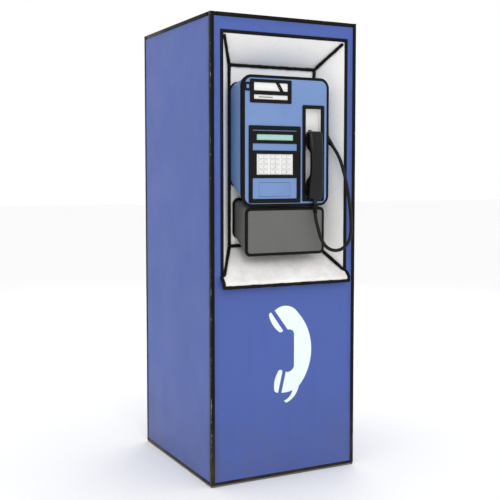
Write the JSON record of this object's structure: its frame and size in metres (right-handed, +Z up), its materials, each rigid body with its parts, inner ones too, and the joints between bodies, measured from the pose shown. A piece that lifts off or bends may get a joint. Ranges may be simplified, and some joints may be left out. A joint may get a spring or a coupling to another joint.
{
  "type": "telephone booth",
  "caption": "Free-standing steel telephone cabinet with a bevelled recess, pay phone with keypad and display, corded handset, coin vault and rear service door.",
  "frame": {"origin": "centre of the base's underside, on the ground", "axes": "+Z up, the front with the phone faces -Y, +X is the user's right"},
  "size_m": [0.59, 0.7078, 1.6535],
  "materials": {
    "zinc_steel": "zinc primer, matt",
    "frame_black": "black powder coat, satin",
    "cabinet_blue": "violet-blue enamel, satin",
    "surround_grey": "pale grey enamel, satin",
    "phone_blue": "light blue enamel on die-cast shells, satin",
    "vault_grey": "dark grey powder coat, fine texture",
    "bright_steel": "turned steel",
    "black_rubber": "matt EPDM",
    "black_plastic": "fine-textured moulding",
    "handset_black": "semi-gloss moulding",
    "cord_black": "black sheath over flexible conduit",
    "white_plastic": "pale grey moulding",
    "key_white": "semi-gloss moulding",
    "sign_white": "gloss white",
    "display_green": "liquid crystal display behind a clear face",
    "circuit_board": "solder mask",
    "inner_plastic": "plain moulding"
  },
  "bodies": {
    "cabinet": {"base_plate": "zinc_steel", "cabinet_frame": "frame_black", "left_panel": "cabinet_blue", "right_panel": "cabinet_blue", "front_panel": "cabinet_blue", "roof_panel": "cabinet_blue", "surround_top": "surround_grey", "surround_left": "surround_grey", "surround_right": "surround_grey", "sill": "surround_grey", "backboard": "surround_grey", "edge_trim": "black_rubber", "handset_sign": "sign_white", "door_hinges": "frame_black", "door_hinge_pins": "bright_steel", "hinge_screws": "bright_steel", "terminal_box": "inner_plastic", "phone_housing": "phone_blue", "phone_cover": "phone_blue", "cover_seal": "black_rubber", "phone_bolts": "bright_steel", "coin_bezel": "black_plastic", "coin_plate": "white_plastic", "coin_inlet": "black_plastic", "card_reader": "white_plastic", "coin_chute": "inner_plastic", "instrument_bezel": "black_plastic", "instrument_plate": "phone_blue", "display_glass": "display_green", "keypad_plate": "white_plastic", "control_board": "circuit_board", "return_cup": "black_plastic", "handset_cradle": "white_plastic", "cradle_trim": "black_plastic", "cord_gland": "black_plastic", "handset_cord": "cord_black", "vault_housing": "vault_grey"},
    "rear_door": {"rear_door": "cabinet_blue"},
    "door_lock": {"door_lock": "bright_steel"},
    "handset": {"handset_shell": "handset_black", "ear_cap": "handset_black", "mouth_cap": "handset_black", "handset_capsules": "inner_plastic"},
    "hook_lever": {"hook_lever": "black_plastic"},
    "return_button": {"return_button": "phone_blue"},
    "return_flap": {"return_flap": "phone_blue"},
    "coin_drawer": {"coin_drawer": "vault_grey"},
    "vault_lock": {"vault_lock": "bright_steel"},
    "key_1": {"key_1": "key_white"},
    "key_2": {"key_2": "key_white"},
    "key_3": {"key_3": "key_white"},
    "key_4": {"key_4": "key_white"},
    "key_5": {"key_5": "key_white"},
    "key_6": {"key_6": "key_white"},
    "key_7": {"key_7": "key_white"},
    "key_8": {"key_8": "key_white"},
    "key_9": {"key_9": "key_white"},
    "key_star": {"key_star": "key_white"},
    "key_0": {"key_0": "key_white"},
    "key_hash": {"key_hash": "key_white"}
  },
  "joints": [
    {"name": "rear_door_hinge", "type": "hinge", "parent": "cabinet", "child": "rear_door", "pos_m": [-0.2803, 0.3245, 0.825], "axis": [0, 0, 1], "range_deg": [0, 110]},
    {"name": "door_lock_turn", "type": "hinge", "parent": "rear_door", "child": "door_lock", "pos_m": [0.236, 0.318, 0.9], "axis": [0, -1, 0], "range_deg": [0, 90]},
    {"name": "handset_lift", "type": "slide", "parent": "cabinet", "child": "handset", "axis": [0, -0.8, 0.6], "range_m": [0, 0.15]},
    {"name": "hook_lever_turn", "type": "hinge", "parent": "cabinet", "child": "hook_lever", "pos_m": [0.1085, -0.295, 1.262], "axis": [-1, 0, 0], "range_deg": [0, 12]},
    {"name": "return_button_press", "type": "slide", "parent": "cabinet", "child": "return_button", "axis": [0, 1, 0], "range_m": [0, 0.003], "stiffness_N_per_m": 500},
    {"name": "return_flap_swing", "type": "hinge", "parent": "cabinet", "child": "return_flap", "pos_m": [-0.048, -0.319, 1.0655], "axis": [1, 0, 0], "range_deg": [0, 50], "stiffness_Nm_per_rad": 0.03, "springref_deg": -28.65},
    {"name": "coin_drawer_slide", "type": "slide", "parent": "cabinet", "child": "coin_drawer", "axis": [0, 1, 0], "range_m": [0, 0.15]},
    {"name": "vault_lock_turn", "type": "hinge", "parent": "coin_drawer", "child": "vault_lock", "pos_m": [0.096, -0.2075, 0.923], "axis": [0, 1, 0], "range_deg": [0, 90]},
    {"name": "key_1_press", "type": "slide", "parent": "cabinet", "child": "key_1", "axis": [0, 1, 0], "range_m": [0, 0.0025], "stiffness_N_per_m": 600},
    {"name": "key_2_press", "type": "slide", "parent": "cabinet", "child": "key_2", "axis": [0, 1, 0], "range_m": [0, 0.0025], "stiffness_N_per_m": 600},
    {"name": "key_3_press", "type": "slide", "parent": "cabinet", "child": "key_3", "axis": [0, 1, 0], "range_m": [0, 0.0025], "stiffness_N_per_m": 600},
    {"name": "key_4_press", "type": "slide", "parent": "cabinet", "child": "key_4", "axis": [0, 1, 0], "range_m": [0, 0.0025], "stiffness_N_per_m": 600},
    {"name": "key_5_press", "type": "slide", "parent": "cabinet", "child": "key_5", "axis": [0, 1, 0], "range_m": [0, 0.0025], "stiffness_N_per_m": 600},
    {"name": "key_6_press", "type": "slide", "parent": "cabinet", "child": "key_6", "axis": [0, 1, 0], "range_m": [0, 0.0025], "stiffness_N_per_m": 600},
    {"name": "key_7_press", "type": "slide", "parent": "cabinet", "child": "key_7", "axis": [0, 1, 0], "range_m": [0, 0.0025], "stiffness_N_per_m": 600},
    {"name": "key_8_press", "type": "slide", "parent": "cabinet", "child": "key_8", "axis": [0, 1, 0], "range_m": [0, 0.0025], "stiffness_N_per_m": 600},
    {"name": "key_9_press", "type": "slide", "parent": "cabinet", "child": "key_9", "axis": [0, 1, 0], "range_m": [0, 0.0025], "stiffness_N_per_m": 600},
    {"name": "key_star_press", "type": "slide", "parent": "cabinet", "child": "key_star", "axis": [0, 1, 0], "range_m": [0, 0.0025], "stiffness_N_per_m": 600},
    {"name": "key_0_press", "type": "slide", "parent": "cabinet", "child": "key_0", "axis": [0, 1, 0], "range_m": [0, 0.0025], "stiffness_N_per_m": 600},
    {"name": "key_hash_press", "type": "slide", "parent": "cabinet", "child": "key_hash", "axis": [0, 1, 0], "range_m": [0, 0.0025], "stiffness_N_per_m": 600}
  ],
  "couplings": [
    {"joint": "hook_lever_turn", "follows": "handset_lift", "rad_per_m": 1.39}
  ]
}
